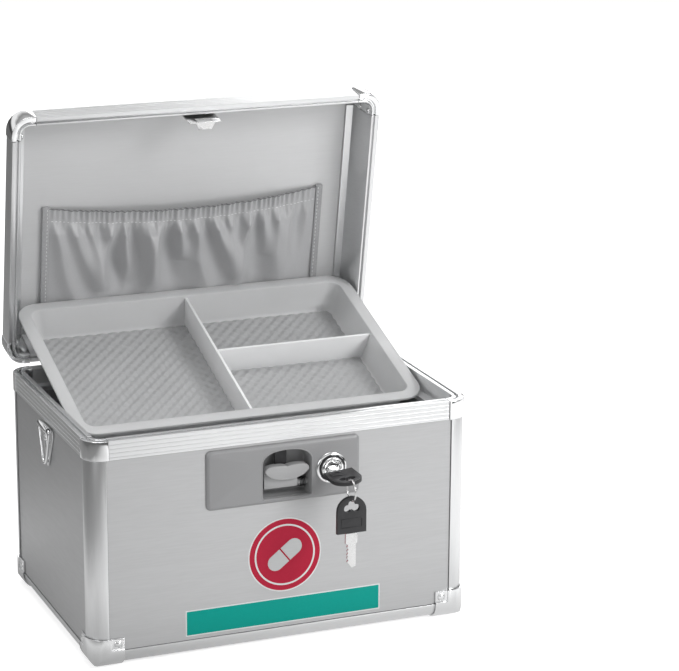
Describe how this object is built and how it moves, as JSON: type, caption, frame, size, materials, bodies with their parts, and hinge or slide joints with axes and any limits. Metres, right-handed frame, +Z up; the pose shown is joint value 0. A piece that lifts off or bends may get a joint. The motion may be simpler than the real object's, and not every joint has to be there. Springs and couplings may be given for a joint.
{
  "type": "lockable medicine box",
  "caption": "Aluminium-framed lockable medicine box, lid open, with a lift-out divided tray, latch, key lock, gathered lid pocket and carry handle.",
  "frame": {"origin": "on the floor under the middle of the base, which is also the middle of the whole part's footprint within 2 mm", "axes": "+X to the box's right, +Y towards the hinges at the back, +Z up; the latch and lock face -Y"},
  "size_m": [0.331, 0.3197, 0.4068],
  "materials": {
    "board": "silver laminate over board, fine vertical grain",
    "frame": "satin extrusion",
    "plated": "polished plating",
    "steel": "plain steel",
    "latch": "grey moulded plastic",
    "lever": "light grey moulded plastic",
    "black": "black moulded plastic",
    "handle": "silver moulded plastic",
    "cloth": "grey woven nylon",
    "tray": "frosted translucent plastic"
  },
  "bodies": {
    "base": {"base_panel_front": "board", "base_panel_back": "board", "base_panel_left": "board", "base_panel_right": "board", "base_panel_bottom": "board", "bottom_rail_front": "frame", "bottom_rail_back": "frame", "bottom_rail_left": "frame", "bottom_rail_right": "frame", "base_rim_front": "frame", "base_rim_back": "frame", "base_rim_left": "frame", "base_rim_right": "frame", "corner_post_front_left": "frame", "corner_post_front_right": "frame", "corner_post_back_right": "frame", "corner_post_back_left": "frame", "bottom_corner_front_left": "plated", "bottom_corner_front_right": "plated", "bottom_corner_back_right": "plated", "bottom_corner_back_left": "plated", "rim_corner_front_left": "plated", "rim_corner_front_right": "plated", "rim_corner_back_right": "plated", "rim_corner_back_left": "plated", "hinge_base_leaf_left": "steel", "hinge_base_leaf_right": "steel", "latch_housing": "latch", "latch_spring": "steel", "lock_barrel": "plated", "strap_bracket_left": "plated", "strap_bracket_right": "plated"},
    "lid": {"lid_panel": "board", "lid_rail_front": "frame", "lid_rail_back": "frame", "lid_rail_left": "frame", "lid_rail_right": "frame", "lid_corner_front_left": "plated", "lid_corner_front_right": "plated", "lid_corner_back_right": "plated", "lid_corner_back_left": "plated", "latch_striker": "plated", "lid_pocket": "cloth", "handle_bracket_left": "plated", "handle_bracket_right": "plated", "hinge_lid_leaf_left": "steel", "hinge_lid_leaf_right": "steel"},
    "handle": {"carry_handle": "handle"},
    "tray": {"tray": "tray"},
    "lever": {"latch_lever": "lever"},
    "bolt": {"latch_bolt": "steel"},
    "key": {"lock_plug": "plated", "lock_cam": "steel", "key_blade": "steel", "key_bow": "black"},
    "ring": {"key_ring": "steel"},
    "spare_key": {"spare_key_blade": "steel", "spare_key_bow": "black"},
    "left_strap_ring": {"strap_ring_left": "plated"},
    "right_strap_ring": {"strap_ring_right": "plated"}
  },
  "joints": [
    {"name": "lid_hinge", "type": "hinge", "parent": "base", "child": "lid", "pos_m": [0, 0.1124, 0.1845], "axis": [1, 0, 0], "range_deg": [0, 80]},
    {"name": "tray_lay", "type": "hinge", "parent": "lid", "child": "tray", "pos_m": [0, 0.10202, 0.23172], "axis": [1, 0, 0], "range_deg": [-98.5, 0]},
    {"name": "handle_swing", "type": "hinge", "parent": "lid", "child": "handle", "pos_m": [0, 0.13976, 0.30346], "axis": [1, 0, 0], "range_deg": [0, 180]},
    {"name": "latch_pull", "type": "hinge", "parent": "base", "child": "lever", "pos_m": [0, -0.1006, 0.1325], "axis": [1, 0, 0], "range_deg": [0, 23], "stiffness_Nm_per_rad": 0.15, "springref_deg": -17.19},
    {"name": "bolt_slide", "type": "slide", "parent": "base", "child": "bolt", "axis": [0, -1, 0], "range_m": [0, 0.0038]},
    {"name": "lock_turn", "type": "hinge", "parent": "base", "child": "key", "pos_m": [0.0398, 0, 0.1445], "axis": [0, 1, 0], "range_deg": [0, 90]},
    {"name": "ring_swing", "type": "hinge", "parent": "key", "child": "ring", "pos_m": [0.0398, -0.1524, 0.1445], "axis": [1, 0, 0], "range_deg": [-12, 12]},
    {"name": "spare_hang", "type": "hinge", "parent": "ring", "child": "spare_key", "pos_m": [0.0398, -0.1524, 0.1299], "axis": [0, 1, 0], "range_deg": [-90.1, 0]},
    {"name": "left_ring_swing", "type": "hinge", "parent": "base", "child": "left_strap_ring", "pos_m": [-0.16275, 0, 0.1685], "axis": [0, 1, 0], "range_deg": [0, 165]},
    {"name": "right_ring_swing", "type": "hinge", "parent": "base", "child": "right_strap_ring", "pos_m": [0.16275, 0, 0.1685], "axis": [0, -1, 0], "range_deg": [0, 165]}
  ],
  "couplings": [
    {"joint": "tray_lay", "follows": "lid_hinge", "ratio": -1.2301},
    {"joint": "bolt_slide", "follows": "latch_pull", "m_per_rad": 0.00922},
    {"joint": "spare_hang", "follows": "lock_turn", "ratio": -1}
  ]
}
